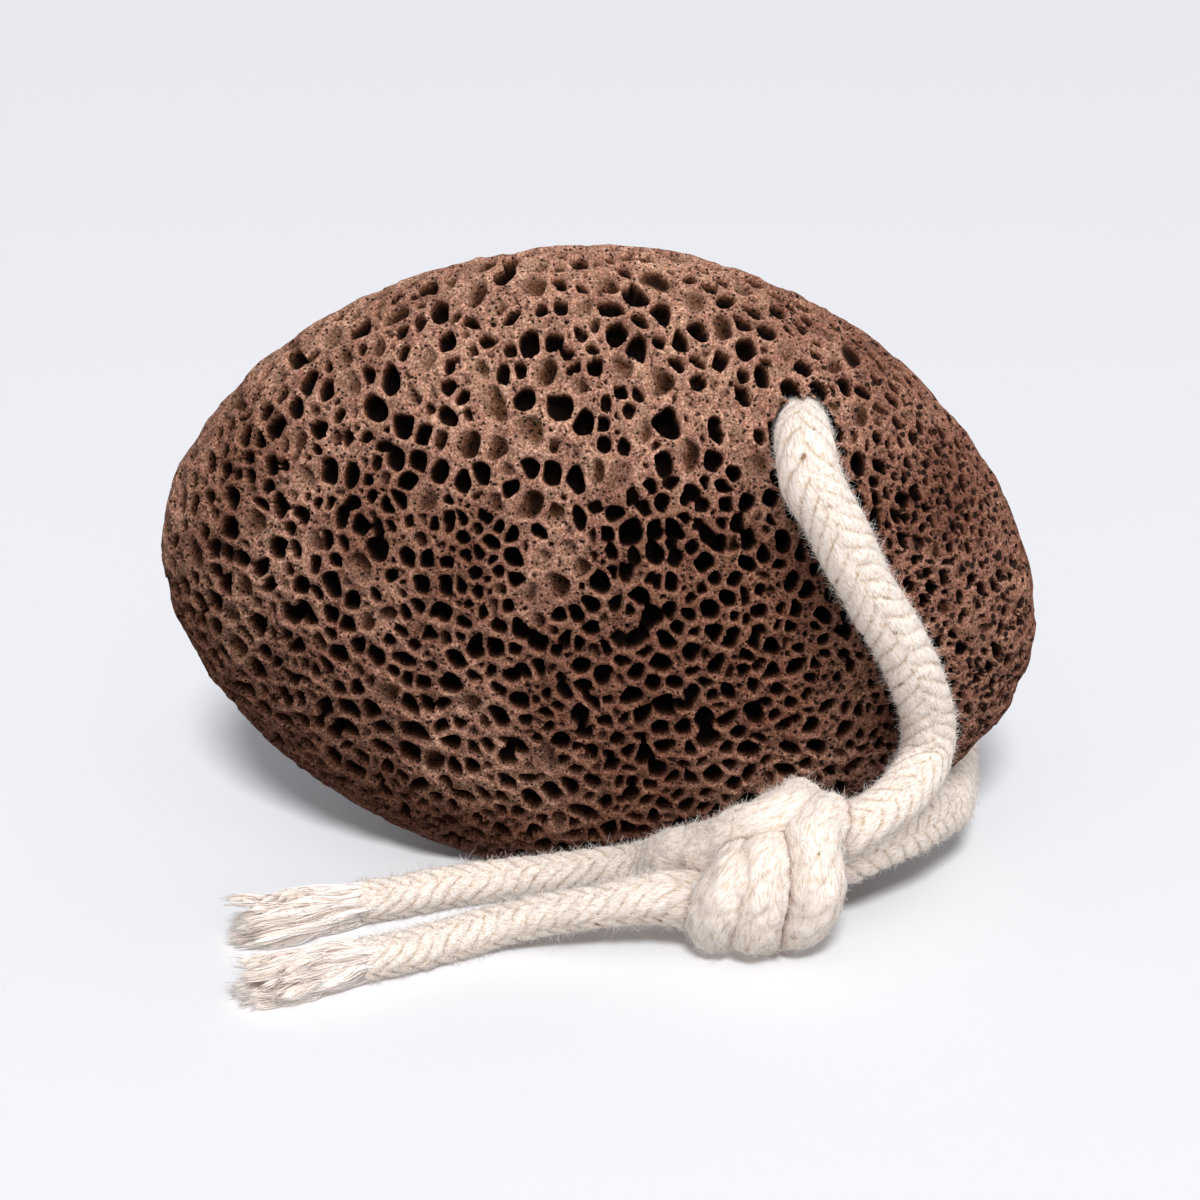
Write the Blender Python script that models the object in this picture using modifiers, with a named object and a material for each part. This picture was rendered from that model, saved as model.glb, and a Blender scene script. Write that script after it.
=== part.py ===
"""A tumbled lava foot stone with a knotted cotton cord through its drilled hole.

The stone stands on a small worn flat of its long edge. The cord runs through the hole, both of its
halves are tied together in one knot in front of the stone, and its two ends lie on the surface.

Axes: +X along the stone, towards its finely pored end; +Y through its thickness, from the knot's
side to the back; +Z up. The origin is the middle of the stone's bounding box, at its lowest level.
"""
import math

import bmesh
import bpy
import numpy as np
from mathutils import Vector

MM = 0.001

# The stone: a superellipsoid, tilted and drooping towards +X, with a flat worn on its lower edge.
STONE_HALF_LENGTH = 50.3 * MM
STONE_HALF_THICKNESS = 20.5 * MM
STONE_HALF_WIDTH = 37.3 * MM
BODY_POWER = 1.84
TILT = math.radians(4.63)
END_DROOP = 4.05 * MM
DROOP_POWER = 3
MIDDLE_X = 0.02 * MM
MIDDLE_Z = 35.4 * MM
FOOT_KEEP_X = 15.0 * MM
FOOT_KEEP_Y = 7.5 * MM
FOOT_MIDDLE_X = 2.0 * MM
FOOT_KEEP_Z = 4.0 * MM

# The bubbles: one cell each, spaced more finely towards +X.
SEED = 11
CANDIDATES = 26000
WIDE_SPACING = 4.75 * MM
FINE_SPACING = 3.7 * MM
FINE_FROM_X = 12.0 * MM
FINE_TO_X = 44.0 * MM
PIT_WALL_SHARE = (0.12, 0.20)
PIT_DEPTH_SHARE = (0.35, 0.72)
EDGE_DEPTH_SHARE = 0.6
CLOSED_CELL_SHARE = 0.07

# The drilled hole, which runs along Y, and its worn mouths.
HOLE_X = 22.0 * MM
HOLE_Z = 54.8 * MM
HOLE_RADIUS = 4.3 * MM
MOUTH_RADIUS = 6.6 * MM
MOUTH_START_Y = 9.5 * MM
MOUTH_END_Y = 16.0 * MM
CUTTER_END_Y = 30.0 * MM
HOLE_STEPS = 20
HOLE_CLEAR_OF_PITS = 6.8 * MM

# The cord. Its routes are in millimetres, from the stone outwards.
CORD_RADIUS = 2.8 * MM
TAIL_RADIUS = 2.35 * MM
FRAY_RADIUS = 2.9 * MM
FRAY_LENGTH = 14.0 * MM
POINT_SPACING = 3.6 * MM
TAIL_POINT_SPACING = 5.2 * MM
CURVE_SAMPLES = 40

FRONT_ROUTE = (
    (22.0, -0.2, 54.8), (22.0, -7.0, 54.8), (22.0, -12.6, 55.2), (22.1, -16.8, 53.9),
    (22.7, -18.4, 51.0), (25.0, -19.1, 46.8), (27.2, -19.4, 42.4), (29.7, -19.3, 37.7),
    (32.6, -18.6, 32.9), (34.9, -17.4, 27.8), (36.3, -15.9, 22.9), (36.2, -16.6, 18.5),
    (33.6, -21.0, 16.2), (30.2, -24.4, 14.7), (26.9, -26.0, 13.4),
)
BACK_ROUTE = (
    (22.0, 0.2, 54.8), (22.0, 7.0, 54.8), (22.0, 12.6, 55.2), (22.1, 16.8, 53.9),
    (22.9, 18.5, 50.6), (25.2, 19.7, 45.0), (28.4, 20.0, 38.6), (32.4, 19.2, 32.0),
    (36.8, 16.9, 25.4), (40.2, 14.2, 19.0), (41.7, 10.6, 13.2), (41.6, 6.0, 9.6),
    (41.1, 1.6, 8.0), (40.3, -3.4, 8.0), (38.9, -8.0, 8.7), (36.9, -12.2, 9.3),
    (34.2, -16.2, 9.5), (30.6, -19.8, 9.2), (26.6, -22.4, 8.6),
)
UPPER_TAIL_ROUTE = (
    (10.2, -21.4, 7.2), (5.4, -17.4, 5.9), (0.0, -15.6, 4.6), (-5.7, -14.4, 3.4),
    (-11.2, -14.2, 2.7), (-17.0, -15.8, 2.5), (-22.6, -18.6, 2.5), (-28.3, -21.2, 2.6),
    (-34.6, -22.6, 2.9), (-42.4, -22.8, 3.1),
)
LOWER_TAIL_ROUTE = (
    (8.4, -29.6, 7.2), (4.2, -29.6, 6.7), (0.0, -29.5, 6.0), (-4.4, -28.8, 5.0),
    (-8.8, -28.3, 3.8), (-13.2, -28.8, 2.8), (-17.4, -31.2, 2.5), (-21.6, -34.1, 2.5),
    (-26.9, -36.9, 2.6), (-32.0, -38.9, 2.9), (-38.6, -41.2, 3.1),
)

# The knot: four lobes about its middle, as (x, y, z, radius) in millimetres.
KNOT_MIDDLE = Vector((18.1, -27.0, 9.1)) * MM
KNOT_LOBES = (
    (-3.2, -2.0, -1.9, 6.4),
    (1.8, -0.4, 2.8, 5.9),
    (3.2, -0.6, -1.6, 6.0),
    (-0.4, 2.2, -0.6, 6.0),
)
KNOT_SUBDIVISIONS = 3

PART_COLLECTION = "pumice_stone_with_cord"
CUTTER_COLLECTION = "cutters"
STONE_COLOUR = (0.19, 0.095, 0.065, 1.0)
CORD_COLOUR = (0.84, 0.76, 0.66, 1.0)
STONE_ROUGHNESS = 0.92
CORD_ROUGHNESS = 0.85


def clear_scene():
    """Remove every object of the scene."""
    for item in list(bpy.data.objects):
        bpy.data.objects.remove(item, do_unlink=True)


def new_collection(name):
    """Return a new collection that is linked to the scene."""
    collection = bpy.data.collections.new(name)
    bpy.context.scene.collection.children.link(collection)
    return collection


def new_material(name, colour, roughness):
    """Return a matt Principled material of one colour."""
    material = bpy.data.materials.new(name)
    material.use_nodes = True
    shader = material.node_tree.nodes["Principled BSDF"]
    shader.inputs["Base Color"].default_value = colour
    shader.inputs["Roughness"].default_value = roughness
    shader.inputs["Metallic"].default_value = 0.0
    material.diffuse_color = colour
    return material


def mesh_object(name, mesh, collection):
    """Link a new object that shows the mesh."""
    item = bpy.data.objects.new(name, mesh)
    collection.objects.link(item)
    return item


def on_body(directions):
    """Scale each direction, in the stone's own axes, until it meets the superellipsoid."""
    half_sizes = np.array([STONE_HALF_LENGTH, STONE_HALF_THICKNESS, STONE_HALF_WIDTH])
    terms = np.abs(directions / half_sizes) ** BODY_POWER
    reach = terms.sum(axis=1) ** (-1.0 / BODY_POWER)
    return directions * reach[:, None]


def stand_up(points):
    """Let the +X end droop, tilt the stone, and raise its middle to its height."""
    along, through, across = points.T
    across = across - END_DROOP * np.clip(along / STONE_HALF_LENGTH, 0.0, None) ** DROOP_POWER
    x = along * math.cos(TILT) + across * math.sin(TILT) + MIDDLE_X
    z = across * math.cos(TILT) - along * math.sin(TILT) + MIDDLE_Z
    return np.stack([x, through, z], axis=1)


def spacing_at(along):
    """Return the least distance between bubbles, which falls towards the +X end."""
    share = np.clip((along - FINE_FROM_X) / (FINE_TO_X - FINE_FROM_X), 0.0, 1.0)
    return WIDE_SPACING + (FINE_SPACING - WIDE_SPACING) * share


def bubble_middles():
    """Throw seeded darts on the body and keep those that are clear of all kept before."""
    chance = np.random.default_rng(SEED)
    throws = chance.normal(size=(CANDIDATES, 3))
    throws *= np.array([STONE_HALF_LENGTH, STONE_HALF_THICKNESS, STONE_HALF_WIDTH])
    darts = on_body(throws)
    clearances = spacing_at(darts[:, 0])
    kept = darts[:1]
    for dart, clearance in zip(darts[1:], clearances[1:]):
        nearest = np.min(np.sum((kept - dart) ** 2, axis=1))
        if nearest > clearance ** 2:
            kept = np.vstack([kept, dart])
    return kept


def hull_of(points):
    """Return a mesh of the points' convex hull, with its edges turned to give even triangles."""
    hull = bmesh.new()
    for point in points:
        hull.verts.new(point)
    bmesh.ops.convex_hull(hull, input=hull.verts)
    bmesh.ops.beautify_fill(hull, faces=hull.faces, edges=hull.edges)
    bmesh.ops.recalc_face_normals(hull, faces=hull.faces)
    mesh = bpy.data.meshes.new("bubble_middles")
    hull.to_mesh(mesh)
    hull.free()
    return mesh


def cells_of(mesh, collection):
    """Return the mesh's dual, which has one many-sided cell around each bubble's middle."""
    group = bpy.data.node_groups.new("cells_around_points", "GeometryNodeTree")
    group.interface.new_socket("Geometry", in_out="INPUT", socket_type="NodeSocketGeometry")
    group.interface.new_socket("Geometry", in_out="OUTPUT", socket_type="NodeSocketGeometry")
    source = group.nodes.new("NodeGroupInput")
    dual = group.nodes.new("GeometryNodeDualMesh")
    result = group.nodes.new("NodeGroupOutput")
    group.links.new(source.outputs[0], dual.inputs[0])
    group.links.new(dual.outputs[0], result.inputs[0])
    holder = mesh_object("bubble_middles", mesh, collection)
    holder.modifiers.new("Cells", "NODES").node_group = group
    graph = bpy.context.evaluated_depsgraph_get()
    cells = bpy.data.meshes.new_from_object(holder.evaluated_get(graph))
    bpy.data.objects.remove(holder, do_unlink=True)
    return cells


def is_left_whole(middle):
    """Say whether a cell is too near the foot or the hole's mouths to have a pit."""
    on_foot = (
        abs(middle.x - FOOT_MIDDLE_X) < FOOT_KEEP_X
        and abs(middle.y) < FOOT_KEEP_Y
        and middle.z < FOOT_KEEP_Z
    )
    from_hole = math.hypot(middle.x - HOLE_X, middle.z - HOLE_Z)
    return on_foot or from_hole < HOLE_CLEAR_OF_PITS


def sink_pits(form):
    """Sink a pit into each cell, with a wall and a depth in proportion to the cell's size.

    Towards the stone's narrow edges, where pits close in on each other, they are shallower.
    """
    chance = np.random.default_rng(SEED)
    for cell in list(form.faces):
        wall_share = chance.uniform(*PIT_WALL_SHARE)
        depth_share = chance.uniform(*PIT_DEPTH_SHARE)
        is_closed = chance.random() < CLOSED_CELL_SHARE
        if is_closed or is_left_whole(cell.calc_center_median()):
            continue
        breadth = math.sqrt(cell.calc_area())
        depth_share *= EDGE_DEPTH_SHARE + (1.0 - EDGE_DEPTH_SHARE) * abs(cell.normal.y)
        bmesh.ops.inset_individual(
            form, faces=[cell], thickness=wall_share * breadth,
            depth=-depth_share * breadth, use_even_offset=True,
        )


def pitted_body(collection):
    """Return the stone's mesh: cells on the body's surface, with their pits."""
    cells = cells_of(hull_of(bubble_middles()), collection)
    form = bmesh.new()
    form.from_mesh(cells)
    bpy.data.meshes.remove(cells)
    places = np.array([corner.co for corner in form.verts])
    places = stand_up(on_body(places))
    for corner, place in zip(form.verts, places):
        corner.co = place
    bmesh.ops.recalc_face_normals(form, faces=form.faces)
    sink_pits(form)
    mesh = bpy.data.meshes.new("pumice_stone")
    form.to_mesh(mesh)
    form.free()
    return mesh


def hide_as_cutter(item):
    """Keep a cutter out of the renders and show it as a wire."""
    item.hide_render = True
    item.display_type = "WIRE"


def hole_cutter(collection):
    """Return the drill's form: half of its profile, mirrored along Y and turned about Y."""
    profile = (
        (HOLE_RADIUS, MOUTH_START_Y),
        (MOUTH_RADIUS, MOUTH_END_Y),
        (MOUTH_RADIUS, CUTTER_END_Y),
    )
    form = bmesh.new()
    outline = [(radius, y) for radius, y in reversed(profile)]
    outline += [(radius, -y) for radius, y in profile]
    outline = [(0.0, CUTTER_END_Y)] + outline + [(0.0, -CUTTER_END_Y)]
    corners = [form.verts.new((radius, y, 0.0)) for radius, y in outline]
    for first, second in zip(corners, corners[1:]):
        form.edges.new((first, second))
    mesh = bpy.data.meshes.new("hole_cutter")
    form.to_mesh(mesh)
    form.free()
    cutter = mesh_object("hole_cutter", mesh, collection)
    cutter.location = (HOLE_X, 0.0, HOLE_Z)
    turn = cutter.modifiers.new("Turn", "SCREW")
    turn.axis = "Y"
    turn.steps = HOLE_STEPS
    turn.render_steps = HOLE_STEPS
    turn.use_merge_vertices = True
    turn.merge_threshold = 0.00001
    hide_as_cutter(cutter)
    return cutter


def foot_cutter(collection):
    """Return a slab that takes off everything below the surface the stone stands on."""
    bpy.ops.mesh.primitive_cube_add(size=1.0)
    cutter = bpy.context.object
    cutter.name = "foot_cutter"
    for holder in list(cutter.users_collection):
        holder.objects.unlink(cutter)
    collection.objects.link(cutter)
    depth = STONE_HALF_THICKNESS
    cutter.scale = (2.0 * STONE_HALF_LENGTH, 4.0 * STONE_HALF_THICKNESS, depth)
    cutter.location = (0.0, 0.0, -0.5 * depth)
    hide_as_cutter(cutter)
    return cutter


def make_stone(parts, cutters, material):
    """Make the pitted stone, drilled through and worn flat where it stands."""
    stone = mesh_object("pumice_stone", pitted_body(parts), parts)
    stone.data.materials.append(material)
    for cutter in (hole_cutter(cutters), foot_cutter(cutters)):
        cut = stone.modifiers.new(cutter.name, "BOOLEAN")
        cut.operation = "DIFFERENCE"
        cut.solver = "EXACT"
        cut.object = cutter
    return stone


def smooth_route(route, spacing):
    """Return points spaced evenly on a uniform Catmull-Rom curve, and how far along it each is."""
    knots = [Vector(point) * MM for point in route]
    ends = [2.0 * knots[0] - knots[1]] + knots + [2.0 * knots[-1] - knots[-2]]
    fine = []
    for before, start, end, after in zip(ends, ends[1:], ends[2:], ends[3:]):
        for step in range(CURVE_SAMPLES):
            t = step / CURVE_SAMPLES
            fine.append(0.5 * (
                2.0 * start
                + (end - before) * t
                + (2.0 * before - 5.0 * start + 4.0 * end - after) * t ** 2
                + (3.0 * start - before - 3.0 * end + after) * t ** 3
            ))
    fine = np.array(fine + [knots[-1]])
    lengths = np.concatenate([[0.0], np.cumsum(np.linalg.norm(np.diff(fine, axis=0), axis=1))])
    count = max(2, round(lengths[-1] / spacing) + 1)
    even = np.linspace(0.0, lengths[-1], count)
    points = np.stack([np.interp(even, lengths, fine[:, axis]) for axis in range(3)], axis=1)
    return points, even


def make_tube(name, route, spacing, radius, fray, parts, material):
    """Make a closed tube along the route, which may swell over its last stretch, where it frays."""
    points, travelled = smooth_route(route, spacing)
    curve = bpy.data.curves.new(name, "CURVE")
    curve.dimensions = "3D"
    curve.bevel_depth = radius
    curve.bevel_resolution = 2
    curve.use_fill_caps = True
    spline = curve.splines.new("POLY")
    spline.points.add(len(points) - 1)
    for handle, point, length in zip(spline.points, points, travelled):
        swell = max(0.0, 1.0 - (travelled[-1] - length) / FRAY_LENGTH) if fray else 0.0
        handle.co = (*point, 1.0)
        handle.radius = 1.0 + swell * (FRAY_RADIUS / radius - 1.0)
    curve.materials.append(material)
    tube = bpy.data.objects.new(name, curve)
    parts.objects.link(tube)
    return tube


def make_knot(parts, material):
    """Make the knot's outer form: each corner of a ball moved out to the farthest lobe."""
    form = bmesh.new()
    bmesh.ops.create_icosphere(form, subdivisions=KNOT_SUBDIVISIONS, radius=1.0)
    for corner in form.verts:
        direction = corner.co.normalized()
        reach = 0.0
        for x, y, z, radius in KNOT_LOBES:
            middle = Vector((x, y, z))
            ahead = middle.dot(direction)
            inside = ahead ** 2 - middle.length_squared + radius ** 2
            if inside > 0.0:
                reach = max(reach, ahead + math.sqrt(inside))
        corner.co = KNOT_MIDDLE + direction * reach * MM
    mesh = bpy.data.meshes.new("cord_knot")
    form.to_mesh(mesh)
    form.free()
    mesh.shade_smooth()
    knot = mesh_object("cord_knot", mesh, parts)
    knot.data.materials.append(material)
    return knot


def main():
    """Make the stone and the five plain solids of its cord."""
    clear_scene()
    parts = new_collection(PART_COLLECTION)
    cutters = new_collection(CUTTER_COLLECTION)
    stone_material = new_material("brown lava", STONE_COLOUR, STONE_ROUGHNESS)
    make_stone(parts, cutters, stone_material)
    tubes = (
        ("cord_front_strand", FRONT_ROUTE, POINT_SPACING, CORD_RADIUS, False),
        ("cord_back_strand", BACK_ROUTE, POINT_SPACING, CORD_RADIUS, False),
        ("cord_tail_upper", UPPER_TAIL_ROUTE, TAIL_POINT_SPACING, TAIL_RADIUS, True),
        ("cord_tail_lower", LOWER_TAIL_ROUTE, TAIL_POINT_SPACING, TAIL_RADIUS, True),
    )
    for name, route, spacing, radius, fray in tubes:
        cotton = new_material(name + " cotton", CORD_COLOUR, CORD_ROUGHNESS)
        make_tube(name, route, spacing, radius, fray, parts, cotton)
    make_knot(parts, new_material("cord_knot cotton", CORD_COLOUR, CORD_ROUGHNESS))


main()
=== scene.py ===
"""A tumbled lava foot stone with a knotted, braided cotton cord: the surfaces that are seen.

Everything is in metres in the part's own frame: +X along the stone, +Y through it, +Z up.
"""
import math
from functools import partial

import bmesh
import bpy
import numpy as np
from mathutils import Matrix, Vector


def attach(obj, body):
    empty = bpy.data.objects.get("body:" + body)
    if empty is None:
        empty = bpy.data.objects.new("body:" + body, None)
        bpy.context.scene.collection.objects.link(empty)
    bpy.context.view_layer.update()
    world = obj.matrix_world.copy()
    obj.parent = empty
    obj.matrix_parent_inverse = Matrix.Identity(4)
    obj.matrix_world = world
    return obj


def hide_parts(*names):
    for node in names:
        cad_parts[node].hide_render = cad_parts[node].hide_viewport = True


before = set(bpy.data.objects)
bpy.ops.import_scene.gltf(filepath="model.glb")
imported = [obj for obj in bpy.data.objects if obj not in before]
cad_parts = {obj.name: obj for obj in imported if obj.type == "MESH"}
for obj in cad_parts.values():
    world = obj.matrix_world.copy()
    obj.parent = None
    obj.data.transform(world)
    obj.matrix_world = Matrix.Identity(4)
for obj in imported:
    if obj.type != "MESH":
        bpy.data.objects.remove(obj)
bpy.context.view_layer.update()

MM = 0.001
# A pattern with one cell to a millimetre has this scale.
PER_MM = 1000.0

# ------------------------ the stone's sizes
# The same superellipsoid as the solid has: half sizes along, through and across the stone.
HALF_SIZES = np.array([50.3, 20.5, 37.3]) * MM
BODY_POWER = 1.84
TILT = math.radians(4.63)
END_DROOP = 4.05 * MM
DROOP_POWER = 3
MIDDLE_X = 0.02 * MM
MIDDLE_Z = 35.4 * MM
HOLE_X = 22.0 * MM
HOLE_Z = 54.8 * MM
HOLE_RADIUS = 3.7 * MM
HOLE_SIDES = 40
# Where the hole's wall has rings of corners, in mm through the stone: they carry the shade painted by depth
# on its wall.
HOLE_LEVELS = (-30.0, -14.0, -9.0, 0.0, 9.0, 14.0, 30.0)

# The skin's grid has this many steps along X, Y and Z, and is thinned to the triangle count.
SKIN_STEPS = (300, 130, 236)
SKIN_TRIANGLES = 186000
# How far the skin lies over the body before its dents, and its waves: height and length.
SKIN_LIFT = 0.3 * MM
SKIN_WAVES = ((0.16 * MM, 7.0 * MM), (0.07 * MM, 2.2 * MM))
# Random directions times this power of the half sizes fall about evenly over the body.
SPREAD_POWER = 0.75


def linear(hex_colour):
    """Turn an sRGB hex colour into the linear RGBA that the shaders take."""
    channels = [int(hex_colour[i:i + 2], 16) / 255.0 for i in (0, 2, 4)]
    curve = [c / 12.92 if c <= 0.04045 else ((c + 0.055) / 1.055) ** 2.4 for c in channels]
    return (*curve, 1.0)


def add_node(tree, kind, settings=None, links=None, **values):
    """Add a node, with its settings, its input values, and links or plain numbers into its inputs."""
    node = tree.nodes.new(kind)
    for name, value in (settings or {}).items():
        setattr(node, name, value)
    for name, value in values.items():
        node.inputs[name.replace("_", " ")].default_value = value
    for name, source in (links or {}).items():
        if isinstance(source, (int, float)):
            node.inputs[name].default_value = source
        else:
            tree.links.new(source, node.inputs[name])
    return node


def colour_stops(ramp_node, *stops):
    """Set a colour ramp's stops from (position, hex colour) pairs, and return its colour."""
    ramp = ramp_node.color_ramp
    while len(ramp.elements) < len(stops):
        ramp.elements.new(0.5)
    for element, (position, colour) in zip(ramp.elements, stops):
        element.position = position
        element.color = linear(colour)
    return ramp_node.outputs["Color"]


# ------------------------ numpy shapes
def waves(points, seed, wavelength, count=14):
    """Smooth noise: the mean of seeded sine waves that run in random directions, about -1 to 1."""
    chance = np.random.default_rng(seed)
    headings = chance.normal(size=(count, 3))
    headings /= np.linalg.norm(headings, axis=1)[:, None]
    rates = 2.0 * math.pi / (wavelength * chance.uniform(0.7, 1.5, count))
    phases = chance.uniform(0.0, 2.0 * math.pi, count)
    return np.sin(points @ (headings * rates[:, None]).T + phases).mean(axis=1) * 1.6


def on_body(directions):
    """Scale directions of the stone's own axes until |x/a|^p + |y/b|^p + |z/c|^p = 1."""
    terms = np.abs(directions / HALF_SIZES) ** BODY_POWER
    return directions * (terms.sum(axis=1) ** (-1.0 / BODY_POWER))[:, None]


def body_normals(points):
    """Return the outward unit normals: the gradient of the superellipsoid's sum of powers."""
    slopes = np.sign(points) * np.abs(points / HALF_SIZES) ** (BODY_POWER - 1.0) / HALF_SIZES
    return slopes / np.linalg.norm(slopes, axis=1)[:, None]


def stand_up(points):
    """Let the +X end droop with the cube of its reach, then tilt the stone and raise it."""
    along, through, across = points.T
    across = across - END_DROOP * np.clip(along / HALF_SIZES[0], 0.0, None) ** DROOP_POWER
    x = along * math.cos(TILT) + across * math.sin(TILT) + MIDDLE_X
    z = across * math.cos(TILT) - along * math.sin(TILT) + MIDDLE_Z
    return np.stack([x, through, z], axis=1)


def lie_down(points):
    """Undo stand_up: take places in the part's frame back to the stone's own axes."""
    x = points[:, 0] - MIDDLE_X
    z = points[:, 2] - MIDDLE_Z
    along = x * math.cos(TILT) - z * math.sin(TILT)
    across = x * math.sin(TILT) + z * math.cos(TILT)
    across = across + END_DROOP * np.clip(along / HALF_SIZES[0], 0.0, None) ** DROOP_POWER
    return np.stack([along, points[:, 1], across], axis=1)


def depth_below_body(points):
    """Return how far places lie below the unpitted body: one minus its power mean, over its slope."""
    local = lie_down(points)
    scaled = np.abs(local / HALF_SIZES)
    level = (scaled ** BODY_POWER).sum(axis=1) ** (1.0 / BODY_POWER)
    slope = scaled ** (BODY_POWER - 1.0) / HALF_SIZES * level[:, None] ** (1.0 - BODY_POWER)
    return (1.0 - level) / np.linalg.norm(slope, axis=1)


def box_lattice(steps):
    """The shell of a box lattice, as unit-cube corners and outward quads.

    Each side is a grid of two of the lattice's axes, and corners shared by sides are one.
    """
    counts = np.array(steps) + 1
    corners, quads = [], []
    start = 0
    for axis in range(3):
        first, second = (axis + 1) % 3, (axis + 2) % 3
        rows, columns = np.meshgrid(
            np.arange(counts[first]), np.arange(counts[second]), indexing="ij"
        )
        for end in (0, steps[axis]):
            place = np.empty((rows.size, 3), dtype=np.int64)
            place[:, axis] = end
            place[:, first] = rows.ravel()
            place[:, second] = columns.ravel()
            corners.append(place)
            ids = start + np.arange(rows.size).reshape(rows.shape)
            quad = np.stack(
                [ids[:-1, :-1], ids[1:, :-1], ids[1:, 1:], ids[:-1, 1:]], axis=-1
            ).reshape(-1, 4)
            quads.append(quad if end else quad[:, ::-1])
            start += rows.size
    corners = np.vstack(corners)
    quads = np.vstack(quads)
    keys = (corners[:, 0] * counts[1] + corners[:, 1]) * counts[2] + corners[:, 2]
    _, firsts, inverse = np.unique(keys, return_index=True, return_inverse=True)
    cube = corners[firsts] / np.array(steps) * 2.0 - 1.0
    return cube, inverse.ravel()[quads]


def mesh_from(name, points, faces):
    """Make a mesh from arrays of places and of faces that all have the same number of corners."""
    mesh = bpy.data.meshes.new(name)
    sides = faces.shape[1]
    mesh.vertices.add(len(points))
    mesh.vertices.foreach_set("co", points.astype(np.float32).ravel())
    mesh.loops.add(faces.size)
    mesh.loops.foreach_set("vertex_index", faces.astype(np.int32).ravel())
    mesh.polygons.add(len(faces))
    mesh.polygons.foreach_set("loop_start", np.arange(0, faces.size, sides, dtype=np.int32))
    mesh.polygons.foreach_set("loop_total", np.full(len(faces), sides, dtype=np.int32))
    mesh.polygons.foreach_set("use_smooth", np.ones(len(faces), dtype=bool))
    mesh.update(calc_edges=True)
    return mesh


def piece_from(mesh, material):
    """Link a new object at the origin that shows the mesh in one material."""
    piece = bpy.data.objects.new(mesh.name, mesh)
    bpy.context.scene.collection.objects.link(piece)
    mesh.materials.clear()
    mesh.materials.append(material)
    return piece


def places_of(mesh):
    """Return a mesh's vertex places as an array."""
    flat = np.empty(3 * len(mesh.vertices), dtype=np.float32)
    mesh.vertices.foreach_get("co", flat)
    return flat.reshape(-1, 3).astype(float)


def tube_faces(rings, sides):
    """Return the quads between the rings of a tube, whose vertices are numbered ring by ring."""
    ids = np.arange(rings * sides).reshape(rings, sides)
    following = np.roll(ids, -1, axis=1)
    return np.stack([ids[:-1], following[:-1], following[1:], ids[1:]], axis=-1).reshape(-1, 4)


def close_ends(mesh, sides):
    """Close a tube's two open ends, each with one smooth face."""
    form = bmesh.new()
    form.from_mesh(mesh)
    form.verts.ensure_lookup_table()
    form.faces.new(form.verts[:sides][::-1]).smooth = True
    form.faces.new(form.verts[-sides:]).smooth = True
    form.to_mesh(mesh)
    form.free()


def mark(mesh, name, values):
    """Give a mesh's vertices one number each under a name that materials read."""
    marks = mesh.attributes.new(name, "FLOAT", "POINT")
    marks.data.foreach_set("value", values.ravel().astype(np.float32))


def settle_modifiers(piece):
    """Replace a piece's mesh with what its modifiers make of it."""
    graph = bpy.context.evaluated_depsgraph_get()
    made = bpy.data.meshes.new_from_object(piece.evaluated_get(graph))
    old = piece.data
    made.name = old.name
    piece.modifiers.clear()
    piece.data = made
    bpy.data.meshes.remove(old)


# ------------------------ the stone's bubbles
BUBBLE_SEED = 7
FLOW_WANDER = 0.4
FLOW_LEAN = -0.28
SIZE_FADE_FROM_X = 16.0 * MM
SIZE_FADE_TO_X = 42.0 * MM
SIZE_AT_FINE_END = 0.55
# The sizes of an outline's waves, with two, three and four of them round a bubble.
OUTLINE_WAVES = (0.1, 0.07, 0.05)
# The cells of the search for neighbours, and how far apart two bubbles surely don't meet.
CELL = 3.0 * MM
APART = 7.0 * MM
MOST_BUBBLES = 9000
# The walls: their thickness, the gap within which there is one, and how near a middle one may come.
WALL = 0.26 * MM
WALL_GAP = 0.39 * MM
NEAREST_WALL = 0.15 * MM
CORNER_POWER = 6.0
PATCH_WAVELENGTH = 17.0 * MM
RIM_WIDTH = 0.1 * MM
# A bubble reaches at most this share past its oval. A vertex nearer to its outline than SNAP_REACH,
# about half a step of the skin's grid, is moved onto it, unless it is near the middle.
FULL_REACH = 1.25
SNAP_REACH = 0.1375 * MM
SNAP_FROM = 0.3
# The side to which the bubbles' floors tip, as an angle from their length, and how far it wanders.
TIP_TURN = -0.5 * math.pi
TIP_WANDER = 0.55
# How plain the stone is, from froth at -1 to land at 1: its mean, how much plainer its top is than
# its middle, which fades out by PLAIN_TO_X, and how much frothier its blunt end is. A kind of bubble
# strays past its levels by up to LEVEL_SPREAD, and froth is what is below FROTH_BELOW.
PLAINNESS = -0.12
PLAINER_UPWARDS = 0.8
PLAIN_TO_X = 25.0 * MM
LEVEL_SPREAD = 0.3
FROTH_BELOW = 0.2
FROTHIER_BACKWARDS = 0.55
FROTHY_BEYOND_X = -12.0 * MM
# The dents: how many, and their radii and depths in mm.
DENTS = 1500
DENT_RADII = (1.2, 2.6)
DENT_DEPTHS = (0.12, 0.38)
# A patch that is frothier than the rest: its middle along and across the stone, reach and strength.
FROTHY_PATCH = (14.0 * MM, -4.0 * MM, 14.0 * MM, 1.1)
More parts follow.
